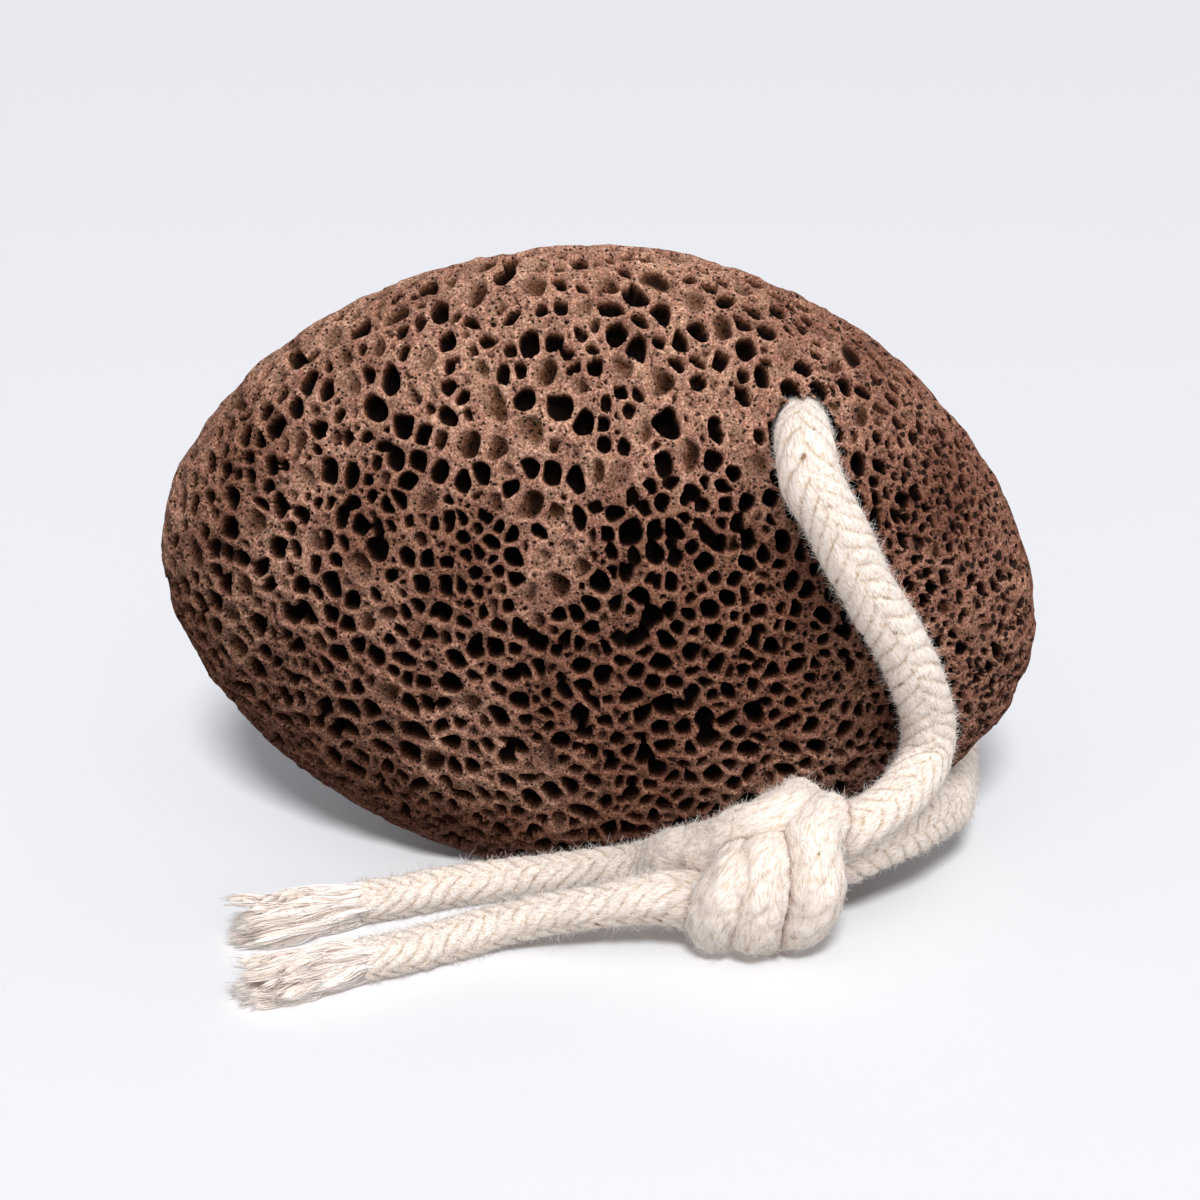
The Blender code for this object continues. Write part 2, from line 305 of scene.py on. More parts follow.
# Each kind of bubble: radii in mm, stretch, depth over radius, steepness of its wall, how close two
# may come over the sum of their radii, number of throws, how far its floor tips, and between which
# levels of plainness it occurs.
BUBBLE_KINDS = (
    dict(radii=(1.1, 2.0), stretch=(1.05, 1.5), depth=(0.3, 0.65), steep=2.6, close=0.86,
         throws=700, tip=0.95, levels=(-0.25, 9.0)),
    dict(radii=(0.8, 1.6), stretch=(1.15, 1.85), depth=(1.7, 2.4), steep=9.0, close=0.82,
         throws=20000, tip=0.2, levels=(-9.0, 0.72)),
    dict(radii=(0.8, 1.7), stretch=(1.05, 1.5), depth=(0.3, 0.65), steep=2.6, close=0.84,
         throws=5000, tip=0.95, levels=(0.1, 9.0)),
    dict(radii=(0.6, 1.25), stretch=(1.0, 1.7), depth=(0.6, 1.4), steep=4.0, close=0.84,
         throws=12000, tip=0.9, levels=(-9.0, 1.0)),
    dict(radii=(0.25, 0.6), stretch=(0.9, 1.6), depth=(1.6, 3.0), steep=5.0, close=0.98,
         throws=34000, tip=0.2, levels=(-9.0, 9.0)),
)
# How much closer bubbles may come where the stone is frothiest, and how much that varies.
FROTH_CLOSENESS = 0.2
CLOSENESS_SPREAD = 0.08
# How much longer bubbles are where the surface faces down.
STRETCH_BELOW = 0.7
# How often two bubbles that touch have a wall between them.
WALL_CHANCE = 0.91
# The strays that make outlines ragged: how far and over what length.
WARP = 0.17 * MM
WARP_WAVELENGTH = 1.7 * MM


def size_share(along):
    """Return the bubbles' size as a share, which falls towards the finely pored end."""
    fade = np.clip((along - SIZE_FADE_FROM_X) / (SIZE_FADE_TO_X - SIZE_FADE_FROM_X), 0.0, 1.0)
    return 1.0 + (SIZE_AT_FINE_END - 1.0) * fade


def plainness(places):
    """Return how plain the stone is at places on its body, from froth at about -1 to land at 1.

    It is broad waves, plus a rise to the top, less one to the blunt end and a round frothy patch.
    """
    upwards = places[:, 2] / HALF_SIZES[2] * np.clip(1.0 - places[:, 0] / PLAIN_TO_X, 0.0, 1.0)
    backwards = np.clip((FROTHY_BEYOND_X - places[:, 0]) / HALF_SIZES[0], 0.0, 1.0)
    patch_x, patch_z, patch_reach, patch_strength = FROTHY_PATCH
    away = np.hypot(places[:, 0] - patch_x, places[:, 2] - patch_z) / patch_reach
    level = PLAINNESS + waves(places, BUBBLE_SEED, PATCH_WAVELENGTH) + PLAINER_UPWARDS * upwards
    return level - FROTHIER_BACKWARDS * backwards - patch_strength * np.exp(-away ** 2)


def froth_at(places):
    """Return how frothy the stone is at places on its body, from 0 to 1."""
    return np.clip(FROTH_BELOW - plainness(places), 0.0, 1.0)


def reach_towards(offsets, lengthwise, radii, stretches):
    """Return ovals' radii towards the offsets: r * k / sqrt(c^2 + (k * s)^2).

    c and s are the cosine and sine of the angle from their length, and k is their stretch.
    """
    distance = np.linalg.norm(offsets, axis=1) + 1e-9
    cosine = np.clip((offsets * lengthwise).sum(axis=1) / distance, -1.0, 1.0)
    sine_squared = 1.0 - cosine ** 2
    return radii * stretches / np.sqrt(cosine ** 2 + stretches ** 2 * sine_squared)


def throw_bubbles():
    """Throw seeded oval bubbles kind by kind, and keep each one that isn't too close to another.

    Returns the kept ones' middles, lengthwise directions and sizes: radius, stretch, depth,
    steepness and tip.
    """
    chance = np.random.default_rng(BUBBLE_SEED)
    middles = np.zeros((MOST_BUBBLES, 3))
    lengthwise = np.zeros((MOST_BUBBLES, 3))
    sizes = np.zeros((MOST_BUBBLES, 5))
    count = 0
    up = np.array([FLOW_LEAN, 0.0, 1.0])
    for kind in BUBBLE_KINDS:
        many = kind["throws"]
        throws = on_body(chance.normal(size=(many, 3)) * HALF_SIZES ** SPREAD_POWER)
        axes = body_normals(throws)
        headings = up - (axes @ up)[:, None] * axes
        headings /= np.linalg.norm(headings, axis=1)[:, None]
        turns = (chance.normal(size=many) * FLOW_WANDER)[:, None]
        headings = np.cos(turns) * headings + np.sin(turns) * np.cross(axes, headings)
        radii = chance.uniform(*kind["radii"], many) * MM * size_share(throws[:, 0])
        stretches = chance.uniform(*kind["stretch"], many)
        stretches *= 1.0 + STRETCH_BELOW * np.clip(-axes[:, 2], 0.0, 1.0)
        depths = chance.uniform(*kind["depth"], many) * radii
        closeness = kind["close"] - FROTH_CLOSENESS * froth_at(throws)
        closeness += chance.uniform(-CLOSENESS_SPREAD, CLOSENESS_SPREAD, many)
        plain = plainness(throws) + chance.uniform(-LEVEL_SPREAD, LEVEL_SPREAD, many)
        lowest, highest = kind["levels"]
        for index in np.flatnonzero((plain > lowest) & (plain < highest)):
            offsets = middles[:count] - throws[index]
            near = np.flatnonzero((np.abs(offsets) < APART).all(axis=1))
            offsets = offsets[near]
            theirs = reach_towards(offsets, lengthwise[near], sizes[near, 0], sizes[near, 1])
            mine = reach_towards(offsets, headings[index], radii[index], stretches[index])
            if (np.linalg.norm(offsets, axis=1) < closeness[index] * (theirs + mine)).any():
                continue
            middles[count] = throws[index]
            lengthwise[count] = headings[index]
            sizes[count] = radii[index], stretches[index], depths[index], kind["steep"], kind["tip"]
            count += 1
    return middles[:count], lengthwise[:count], sizes[:count]


class Neighbours:
    """Finds the vertices near a place through a lattice of cells."""

    def __init__(self, points):
        self.low = points.min(axis=0)
        cells = ((points - self.low) / CELL).astype(np.int64)
        self.shape = cells.max(axis=0) + 1
        keys = (cells[:, 0] * self.shape[1] + cells[:, 1]) * self.shape[2] + cells[:, 2]
        self.order = np.argsort(keys, kind="stable")
        self.starts = np.searchsorted(keys[self.order], np.arange(self.shape.prod() + 1))

    def near(self, place, reach):
        """Return the indices of the vertices whose cells come within reach of the place."""
        first = np.maximum(((place - reach - self.low) / CELL).astype(np.int64), 0)
        last = np.minimum(((place + reach - self.low) / CELL).astype(np.int64), self.shape - 1)
        found = []
        for i in range(first[0], last[0] + 1):
            for j in range(first[1], last[1] + 1):
                row = (i * self.shape[1] + j) * self.shape[2]
                found.append(self.order[self.starts[row + first[2]]:self.starts[row + last[2] + 1]])
        return np.concatenate(found) if found else np.empty(0, dtype=np.int64)


def sink_bubbles(points, normals):
    """Return the points with bubbles sunk along the normals, and how near each is to a rim, 0 to 1.

    Each bubble has a wavy oval outline, which is cut back to leave a wall where another bubble
    is near: its share is the power mean of the oval's share and of the shares of the way to each
    wall. Shares are taken at places that waves have strayed by WARP, so outlines are ragged. A
    vertex close to an outline is first moved onto it, so that rims are crisp. A bubble's depth at
    the share r is depth * sqrt(1 - r^steep), tipped a little to one side.
    """
    middles, lengthwise, sizes = throw_bubbles()
    radii, stretches, depths, steeps, tips = sizes.T
    many = len(radii)
    chance = np.random.default_rng(BUBBLE_SEED + 1)
    axes = body_normals(middles)
    crosswise = np.cross(axes, lengthwise)
    counts = len(OUTLINE_WAVES)
    orders = np.arange(2, 2 + counts)
    wave_sizes = chance.normal(size=(many, counts)) * OUTLINE_WAVES
    wave_turns = chance.uniform(0.0, 2.0 * math.pi, size=(many, counts))
    tip_turns = TIP_TURN + chance.normal(size=many) * TIP_WANDER
    warp = WARP * np.stack([waves(points, seed, WARP_WAVELENGTH) for seed in (11, 12, 13)], axis=1)
    search = Neighbours(points)
    points = points.copy()
    snapped = np.zeros(len(points), dtype=bool)
    depth = np.zeros(len(points))
    rim = np.zeros(len(points))

    walls = []
    for index in range(many):
        offsets = middles - middles[index]
        near = np.flatnonzero((np.abs(offsets) < APART).all(axis=1))
        near = near[near != index]
        offsets = offsets[near]
        distance = np.linalg.norm(offsets, axis=1)
        mine = reach_towards(offsets, lengthwise[index], radii[index], stretches[index])
        theirs = reach_towards(offsets, lengthwise[near], radii[near], stretches[near])
        close = (distance < mine + theirs + WALL_GAP) & (chance.uniform(size=len(near)) < WALL_CHANCE)
        reach = np.maximum(distance * mine / (mine + theirs) - 0.5 * WALL, NEAREST_WALL)
        walls.append((offsets / distance[:, None] / reach[:, None])[close])

    def shares(index, ids):
        """Return the share of the way from a bubble's middle to its rim, its angle and offsets."""
        offset = points[ids] + warp[ids] - middles[index]
        a = offset @ lengthwise[index] / (radii[index] * stretches[index])
        b = offset @ crosswise[index] / radii[index]
        angle = np.arctan2(b, a)
        wobbles = wave_sizes[index] * np.cos(angle[:, None] * orders + wave_turns[index])
        oval = np.hypot(a, b) / (1.0 + wobbles.sum(axis=1))
        ways = np.maximum(np.column_stack([oval, offset @ walls[index].T]), 0.0)
        return (ways ** CORNER_POWER).sum(axis=1) ** (1.0 / CORNER_POWER), angle, offset

    lists = []
    for middle, reach in zip(middles, radii * stretches * FULL_REACH):
        ids = search.near(middle, reach)
        lists.append(ids[((points[ids] - middle) ** 2).sum(axis=1) < reach ** 2])
    for index in np.argsort(-depths):
        ids = lists[index]
        share, _, offset = shares(index, ids)
        close = (np.abs(share - 1.0) * radii[index] < SNAP_REACH) & ~snapped[ids] & (share > SNAP_FROM)
        chosen = ids[close]
        flat = offset[close] - (offset[close] @ axes[index])[:, None] * axes[index]
        points[chosen] += flat * (1.0 / share[close] - 1.0)[:, None]
        snapped[chosen] = True
    for index, ids in enumerate(lists):
        share, angle, _ = shares(index, ids)
        rim[ids] = np.maximum(rim[ids], np.exp(-((share - 1.0) * radii[index] / RIM_WIDTH) ** 2))
        inside = share < 1.0
        ids, share, angle = ids[inside], share[inside], angle[inside]
        bowl = np.sqrt(1.0 - share ** steeps[index])
        tip = 1.0 + tips[index] * share * np.cos(angle - tip_turns[index])
        depth[ids] = np.maximum(depth[ids], depths[index] * bowl * tip)
    return points - normals * depth[:, None], rim


def dent_depths(points):
    """Shallow dents with crisp rims that cross: deep * (1 - (distance / radius)^2), the deepest of all."""
    chance = np.random.default_rng(BUBBLE_SEED + 2)
    middles = on_body(chance.normal(size=(DENTS, 3)) * HALF_SIZES ** SPREAD_POWER)
    radii = chance.uniform(*DENT_RADII, DENTS) * MM
    deepest = chance.uniform(*DENT_DEPTHS, DENTS) * MM
    search = Neighbours(points)
    depth = np.zeros(len(points))
    for middle, radius, deep in zip(middles, radii, deepest):
        ids = search.near(middle, radius)
        share = ((points[ids] - middle) ** 2).sum(axis=1) / radius ** 2
        depth[ids] = np.maximum(depth[ids], deep * (1.0 - share))
    return depth


def hole_cutter():
    """The drill's form: a ring of HOLE_RADIUS round the hole's axis at each level, closed at both ends."""
    turns = np.linspace(0.0, 2.0 * math.pi, HOLE_SIDES, endpoint=False)
    y, turn = np.meshgrid(np.array(HOLE_LEVELS) * MM, turns, indexing="ij")
    x = HOLE_X + HOLE_RADIUS * np.cos(turn)
    z = HOLE_Z - HOLE_RADIUS * np.sin(turn)
    points = np.stack([x, y, z], axis=-1).reshape(-1, 3)
    mesh = mesh_from("hole_cutter", points, tube_faces(len(HOLE_LEVELS), HOLE_SIDES))
    close_ends(mesh, HOLE_SIDES)
    cutter = bpy.data.objects.new("hole_cutter", mesh)
    bpy.context.scene.collection.objects.link(cutter)
    return cutter


def make_stone(material):
    """The stone's skin: an even box lattice blown up to the body, pitted, worn flat and drilled."""
    cube, quads = box_lattice(SKIN_STEPS)
    points = on_body(np.tan(cube * math.pi / 4.0) * HALF_SIZES)
    normals = body_normals(points)
    lift = SKIN_LIFT - dent_depths(points)
    for seed, (height, wavelength) in enumerate(SKIN_WAVES, 3):
        lift += height * waves(points, seed, wavelength)
    pitted, rim = sink_bubbles(points, normals)
    standing = stand_up(pitted + normals * lift[:, None])
    standing[:, 2] = np.maximum(standing[:, 2], 0.0)
    skin = mesh_from("stone_skin", standing, quads)
    # How near each vertex is to a bubble's rim: the lava material paints highlight by it.
    mark(skin, "rim", rim)
    # How frothy each vertex is: the lava material paints shade by it.
    mark(skin, "froth", froth_at(points))
    stone = piece_from(skin, material)
    thin = stone.modifiers.new("Thin", "DECIMATE")
    thin.ratio = SKIN_TRIANGLES / (2.0 * len(quads))
    settle_modifiers(stone)
    cutter = hole_cutter()
    cut = stone.modifiers.new("Hole", "BOOLEAN")
    cut.operation = "DIFFERENCE"
    cut.solver = "MANIFOLD"
    cut.object = cutter
    settle_modifiers(stone)
    bpy.data.objects.remove(cutter, do_unlink=True)
    skin = stone.data
    # How deep each vertex lies below the body: the lava material paints shade by it.
    mark(skin, "depth_mm", depth_below_body(places_of(skin)) / MM)
    skin.polygons.foreach_set("use_smooth", np.ones(len(skin.polygons), dtype=bool))
    return stone


# ------------------------ materials
# The kinds of node that the materials are made of, and their settings.
NOISE, CELLS, RAMP = "ShaderNodeTexNoise", "ShaderNodeTexVoronoi", "ShaderNodeValToRGB"
MIX, SPAN, MATHS, ATTRIBUTE = "ShaderNodeMix", "ShaderNodeMapRange", "ShaderNodeMath", "ShaderNodeAttribute"
COVER = {"data_type": "RGBA"}
TINT = {"data_type": "RGBA", "blend_type": "MULTIPLY"}
TIMES, MINUS, TIMES_PLUS, FLOOR, FRACTION, REMAINDER, LARGER, UP_AND_DOWN = (
    {"operation": name} for name in (
        "MULTIPLY", "SUBTRACT", "MULTIPLY_ADD", "FLOOR", "FRACT", "MODULO", "MAXIMUM", "PINGPONG"))


def new_material(name, roughness, shine):
    """Start a material that isn't metal, and return it with its shader's inputs."""
    material = bpy.data.materials.new(name)
    material.use_nodes = True
    shader = material.node_tree.nodes["Principled BSDF"].inputs
    shader["Roughness"].default_value = roughness
    shader["Specular IOR Level"].default_value = shine
    return material, shader


def soak(shader, share, depth, radii):
    """Let a share of the light soak to a depth into a material, as red, green and blue do by radii."""
    shader["Subsurface Weight"].default_value = share
    shader["Subsurface Scale"].default_value = depth
    shader["Subsurface Radius"].default_value = radii


def lava_material():
    """Vesicular lava, tumbled smooth: a matt brown glassy froth, with painted highlights on its rims and
    painted shade in its froth, pinholes and hollows.
    """
    material, shader = new_material("tumbled vesicular lava", 0.95, 0.15)
    shader["IOR"].default_value = 1.45
    add = partial(add_node, material.node_tree)
    where = add("ShaderNodeTexCoord").outputs["Object"]
    depth, rim, froth = (
        add(ATTRIBUTE, {"attribute_name": name}).outputs["Fac"] for name in ("depth_mm", "rim", "froth"))
    # Ash grains of about a quarter of a millimetre, from dark glass to pale dust.
    grains = add(NOISE, links={"Vector": where}, Scale=3.4 * PER_MM, Detail=5.0, Roughness=0.8)
    grain = grains.outputs["Fac"]
    land = colour_stops(
        add(RAMP, links={"Fac": grain}), (0.36, "573e34"), (0.5, "a6816f"), (0.64, "e6cabc"))
    # Broad patches of about three millimetres, cooler and warmer.
    patch = add(NOISE, links={"Vector": where}, Scale=0.33 * PER_MM, Detail=4.0, Roughness=0.65)
    patches = colour_stops(
        add(RAMP, links={"Fac": patch.outputs["Fac"]}), (0.32, "c9b3ab"), (0.68, "fff6e8"))
    tinted = add(MIX, TINT, {"A": land, "B": patches}, Factor=1.0).outputs["Result"]
    # The finely pored end is redder.
    place = add("ShaderNodeSeparateXYZ", links={"Vector": where}).outputs["X"]
    fine_end = add(SPAN, links={"Value": place}, From_Min=12.0 * MM, From_Max=40.0 * MM).outputs["Result"]
    reddened = add(MIX, TINT, {"Factor": fine_end, "A": tinted}, B=linear("dbd2d1")).outputs["Result"]
    # Painted highlight on the bubbles' rims, which also stands for their being rubbed paler.
    rim_highlight_and_wear = add(MIX, TINT, {"Factor": rim, "A": reddened}, B=(1.55, 1.48, 1.5, 1.0)).outputs["Result"]
    # Painted shade where the stone is frothiest: darker towards its bottom, its blunt end and one round
    # patch.
    froth_painted_shade = add(MIX, TINT, {"Factor": froth, "A": rim_highlight_and_wear}, B=linear("c4b6af")).outputs["Result"]
    # Pinholes of about a fifth of a millimetre everywhere, and wider ones towards the fine end, painted
    # nearly black as the shade inside them.
    fine = add(CELLS, links={"Vector": where}, Scale=1.35 * PER_MM).outputs["Distance"]
    pinhole = add(SPAN, links={"Value": fine}, From_Min=0.16, From_Max=0.28, To_Min=0.9, To_Max=0.0)
    wide = add(CELLS, links={"Vector": where}, Scale=0.82 * PER_MM).outputs["Distance"]
    reach = add(SPAN, links={"Value": fine_end}, To_Min=0.12, To_Max=0.31).outputs["Result"]
    beyond = add(MATHS, MINUS, {0: wide, 1: reach}).outputs["Value"]
    pore = add(SPAN, links={"Value": beyond}, From_Min=-0.03, From_Max=0.05, To_Min=0.95, To_Max=0.0)
    pricks = add(MATHS, LARGER, {0: pinhole.outputs["Result"], 1: pore.outputs["Result"]}).outputs["Value"]
    pinholes_painted_dark = add(MIX, COVER, {"Factor": pricks, "A": froth_painted_shade}, B=linear("1c100b")).outputs["Result"]
    # Painted shade inside the hollows: darker with depth, by two millimetres nearly black.
    # The small bubbles of the fine end are shallower but painted as black.
    painted_black_at = add(SPAN, links={"Value": fine_end}, To_Min=2.0, To_Max=1.15).outputs["Result"]
    inside = add(SPAN, links={"Value": depth, "From Max": painted_black_at}).outputs["Result"]
    shade = colour_stops(
        add(RAMP, links={"Fac": inside}),
        (0.1, "ffffff"), (0.32, "a3917f"), (0.6, "54453a"), (0.95, "2a1d16"))
    depth_painted_shade = add(MIX, TINT, {"A": pinholes_painted_dark, "B": shade}, Factor=1.0).outputs["Result"]
    material.node_tree.links.new(depth_painted_shade, shader["Base Color"])
    height = add(MATHS, MINUS, {0: grain, 1: pricks}).outputs["Value"]
    bump = add("ShaderNodeBump", links={"Height": height}, Strength=0.9, Distance=0.3 * MM)
    material.node_tree.links.new(bump.outputs["Normal"], shader["Normal"])
    return material


def cotton_material():
    """Unbleached cotton, braided: a very matt cream yarn, with shade painted in its creases, gaps and folds,
    and flecks of husk.
    """
    material, shader = new_material("unbleached braided cotton", 1.0, 0.2)
    shader["IOR"].default_value = 1.4
    # Light soaks about half a millimetre into cotton, so its shaded sides stay pale.
    soak(shader, 0.4, 0.6 * MM, (1.0, 0.9, 0.8))
    add = partial(add_node, material.node_tree)
    where = add("ShaderNodeTexCoord").outputs["Object"]
    crease, tight, touch = (
        add(ATTRIBUTE, {"attribute_name": name}).outputs["Fac"] for name in ("crease", "tightness", "touch"))
    grains = add(NOISE, links={"Vector": where}, Scale=1.9 * PER_MM, Detail=5.0, Roughness=0.7)
    grain = grains.outputs["Fac"]
    # Whether a stitch's column is even or odd, and how far across it a place is.
    layout = add("ShaderNodeUVMap", {"uv_map": "stitches"}).outputs["UV"]
    stitch = add("ShaderNodeSeparateXYZ", links={"Vector": layout}).outputs
    column = add(MATHS, FLOOR, {0: stitch["X"]}).outputs["Value"]
    odd = add(MATHS, REMAINDER, {0: column, 1: 2.0}).outputs["Value"]
    inside = add(MATHS, FRACTION, {0: stitch["X"]}).outputs["Value"]
    across = add(MATHS, MINUS, {0: inside, 1: 0.5}).outputs["Value"]
    # The gaps between stitches: where the phase along the leaning stitch comes round, as in the mesh.
    lean = add(MATHS, TIMES_PLUS, {0: odd, 1: -2.0, 2: 1.0}).outputs["Value"]
    rise = add(MATHS, TIMES, {0: lean, 1: across}).outputs["Value"]
    along = add(MATHS, TIMES_PLUS, {0: rise, 1: STITCH_SLANT, 2: stitch["Y"]}).outputs["Value"]
    phase = add(MATHS, TIMES_PLUS, {0: odd, 1: 0.5, 2: along}).outputs["Value"]
    uneven = add(MATHS, MINUS, {0: grain, 1: 0.5}).outputs["Value"]
    ragged = add(MATHS, TIMES_PLUS, {0: uneven, 1: 0.5, 2: phase}).outputs["Value"]
    away = add(MATHS, UP_AND_DOWN, {0: ragged, 1: 0.5}).outputs["Value"]
    between = add(SPAN, links={"Value": away}, From_Min=0.1, From_Max=0.015).outputs["Result"]
    # The gaps show here and there, and less in the knot, where the stitches are pulled shut.
    shown = add(NOISE, links={"Vector": where}, Scale=0.6 * PER_MM, Detail=2.0).outputs["Fac"]
    open_here = add(SPAN, links={"Value": shown}, From_Min=0.42, From_Max=0.62, To_Min=0.12, To_Max=1.0)
    loose = add(MATHS, TIMES_PLUS, {0: tight, 1: -0.45, 2: 1.0}).outputs["Value"]
    opening = add(MATHS, TIMES, {0: open_here.outputs["Result"], 1: loose}).outputs["Value"]
    gap = add(MATHS, TIMES, {0: between, 1: opening}).outputs["Value"]
    half_gap = add(MATHS, TIMES, {0: gap, 1: 0.5}).outputs["Value"]
    # Painted shade, browner down in the braid's creases.
    base = colour_stops(
        add(RAMP, links={"Fac": crease}), (0.1, "e4d9d1"), (0.5, "dbcfc5"), (0.95, "bda489"))
    # Painted shade in the gaps between stitches.
    gap_painted_shade = add(MIX, COVER, {"Factor": half_gap, "A": base}, B=linear("b7966e")).outputs["Result"]
    # Where turns of cord press on each other, shade is painted in the fold between them.
    fold_shade_share = add(MATHS, TIMES, {0: touch, 1: 0.8}).outputs["Value"]
    fold_painted_shade = add(MIX, COVER, {"Factor": fold_shade_share, "A": gap_painted_shade}, B=linear("8d6448")).outputs["Result"]
    # Flecks of husk, a third of a millimetre wide, that lie in the gaps.
    husk = add(CELLS, links={"Vector": where}, Scale=0.42 * PER_MM).outputs["Distance"]
    spot = add(SPAN, links={"Value": husk}, From_Min=0.2, From_Max=0.12).outputs["Result"]
    deep = add(SPAN, links={"Value": crease}, From_Min=0.3, From_Max=0.55, To_Max=0.8).outputs["Result"]
    fleck = add(MATHS, TIMES, {0: spot, 1: deep}).outputs["Value"]
    flecked = add(MIX, COVER, {"Factor": fleck, "A": fold_painted_shade}, B=linear("7a5634")).outputs["Result"]
    # Fibres run along the cord, ten or so to a stitch, and lie in lighter and darker streaks.
    stretched = add("ShaderNodeMapping", links={"Vector": layout}, Scale=(7.0, 0.9, 1.0))
    fibres = add(NOISE, links={"Vector": stretched.outputs["Vector"]}, Scale=3.0, Detail=3.0)
    fibre = fibres.outputs["Fac"]
    streaks = colour_stops(add(RAMP, links={"Fac": fibre}), (0.36, "ebe0d4"), (0.52, "ffffff"))
    streaked = add(MIX, TINT, {"A": flecked, "B": streaks}, Factor=1.0).outputs["Result"]
    material.node_tree.links.new(streaked, shader["Base Color"])
    texture = add(MATHS, TIMES_PLUS, {0: fibre, 1: 1.3, 2: grain}).outputs["Value"]
    height = add(MATHS, TIMES_PLUS, {0: gap, 1: -0.6, 2: texture}).outputs["Value"]
    bump = add("ShaderNodeBump", links={"Height": height}, Strength=0.6, Distance=0.3 * MM)
    material.node_tree.links.new(bump.outputs["Normal"], shader["Normal"])
    return material


def fibre_material(name, colour):
    """Loose cotton: plain, matt and of one cream all over, because a thread is too thin to vary."""
    material, shader = new_material(name, 1.0, 0.1)
    shader["Base Color"].default_value = linear(colour)
    soak(shader, 0.6, 0.8 * MM, (1.0, 0.9, 0.75))
    return material


# ------------------------ the cord
CORD_STEP = 0.3 * MM
CORD_SIDES = 56
STITCH_COLUMNS = 4
STITCH_PITCH = 2.1 * MM
STITCH_SLANT = 1.7
STITCH_RELIEF = 0.42 * MM
BUNDLE_WAVES = ((5, 0.33, 0.4), (7, -0.21, 2.1), (6, 0.12, 4.4), (9, -0.4, 5.3))
# The height that lies at the strand's radius, and how far it is a bundle's in the knot.
MEAN_HEIGHT = 0.72
BUNDLE_SHARE = 0.6
# How uneven the cord is: height and length of its lumps, and of those where the knot squeezes it.
LUMPS = ((0.16 * MM, 5.0 * MM), (0.07 * MM, 1.3 * MM))
KNOT_LUMPS = (0.25 * MM, 3.2 * MM)
# How far inside the knot's start and end the cord is pulled tight, and over what length.
TIGHT_FROM, TIGHT_TO, TIGHT_OVER = 2.0 * MM, 3.0 * MM, 4.0 * MM
# How far from its ends a strand starts to round off, and how far it keeps off the floor.
END_ROUNDING = 1.6 * MM
CORD_LIFT = 0.05 * MM
# How far along a strand its own turns start to press on it, and how far from a touch shade is painted.
OWN_LOOP = 9.0 * MM
CREASE_REACH = 0.3 * MM
# How dark the painted shade in a fold between the two strands is, next to one between turns of the same
# strand.
SHARED_FOLD = 0.45
# The routes of the two strands in mm: from the middle of the hole, down the stone's face, through
# the knot's turns and out as a tail.
KNOT = np.array([18.1, -27.0, 9.1])
FRONT_FACE = (
    (22.0, -0.2, 54.8), (22.0, -7.0, 54.8), (22.0, -12.6, 55.2), (22.1, -16.8, 53.9),
    (22.7, -18.4, 51.0), (25.0, -19.1, 46.8), (27.2, -19.4, 42.4), (29.7, -19.3, 37.7),
    (32.6, -18.6, 32.9), (34.9, -17.4, 27.8), (36.3, -15.9, 22.9), (36.2, -16.6, 18.5),
    (33.6, -21.0, 16.2), (30.2, -24.4, 14.7),
)
FRONT_TURNS = (
    (8.8, 1.0, 4.3), (4.4, 0.4, 3.2), (1.0, -3.2, 3.0), (-1.0, -6.0, 2.3), (-1.2, -7.0, -0.4),
    (-1.5, -5.6, -3.8), (0.8, 0.2, -5.6), (4.4, 4.9, -4.0), (7.4, 4.8, 1.4), (6.2, 0.8, 5.3),
    (4.6, -3.4, 4.7), (4.9, -5.7, 0.9), (3.6, -4.8, -3.2), (0.8, -1.2, -5.2), (-4.6, 0.2, -4.4),
    (-9.7, -2.4, -2.3),
)
FRONT_TAIL = (
    (4.2, -29.6, 6.7), (0.0, -29.5, 6.0), (-4.4, -28.8, 5.0), (-8.8, -28.3, 3.8),
    (-13.2, -28.8, 2.8), (-17.4, -31.2, 2.5), (-21.6, -34.1, 2.5), (-26.9, -36.9, 2.6),
)
BACK_FACE = (
    (22.0, 0.2, 54.8), (22.0, 7.0, 54.8), (22.0, 12.6, 55.2), (22.1, 16.8, 53.9),
    (22.9, 18.5, 50.6), (25.2, 19.7, 45.0), (28.4, 20.0, 38.6), (32.4, 19.2, 32.0),
    (36.8, 16.9, 25.4), (40.2, 14.2, 19.0), (41.7, 10.6, 13.2), (41.6, 6.0, 9.6),
    (41.1, 1.6, 8.0), (40.3, -3.4, 8.0), (38.9, -8.0, 8.7), (36.9, -12.2, 9.3),
    (34.2, -16.2, 9.5), (30.6, -19.8, 9.2),
)
BACK_TURNS = (
    (8.5, 4.6, -0.5), (3.0, 3.6, 0.2), (-1.0, -1.6, 2.0), (-3.1, -5.8, 1.8), (-4.9, -6.7, -0.5),
    (-5.6, -5.3, -3.3), (-4.9, -0.6, -5.6), (-1.6, 5.2, -3.6), (1.8, 6.8, 2.0), (3.6, 4.2, 5.6),
    (2.6, 0.6, 6.2), (0.2, -0.9, 5.8), (-2.8, -0.4, 4.1), (-5.6, 1.8, 1.7), (-9.4, 5.0, -0.5),
)
BACK_TAIL = (
    (5.4, -17.4, 5.9), (0.0, -15.6, 4.6), (-5.7, -14.4, 3.4), (-11.2, -14.2, 2.7),
    (-17.0, -15.8, 2.5), (-22.6, -18.6, 2.5), (-28.3, -21.2, 2.6),
)
CURVE_STEPS = 40
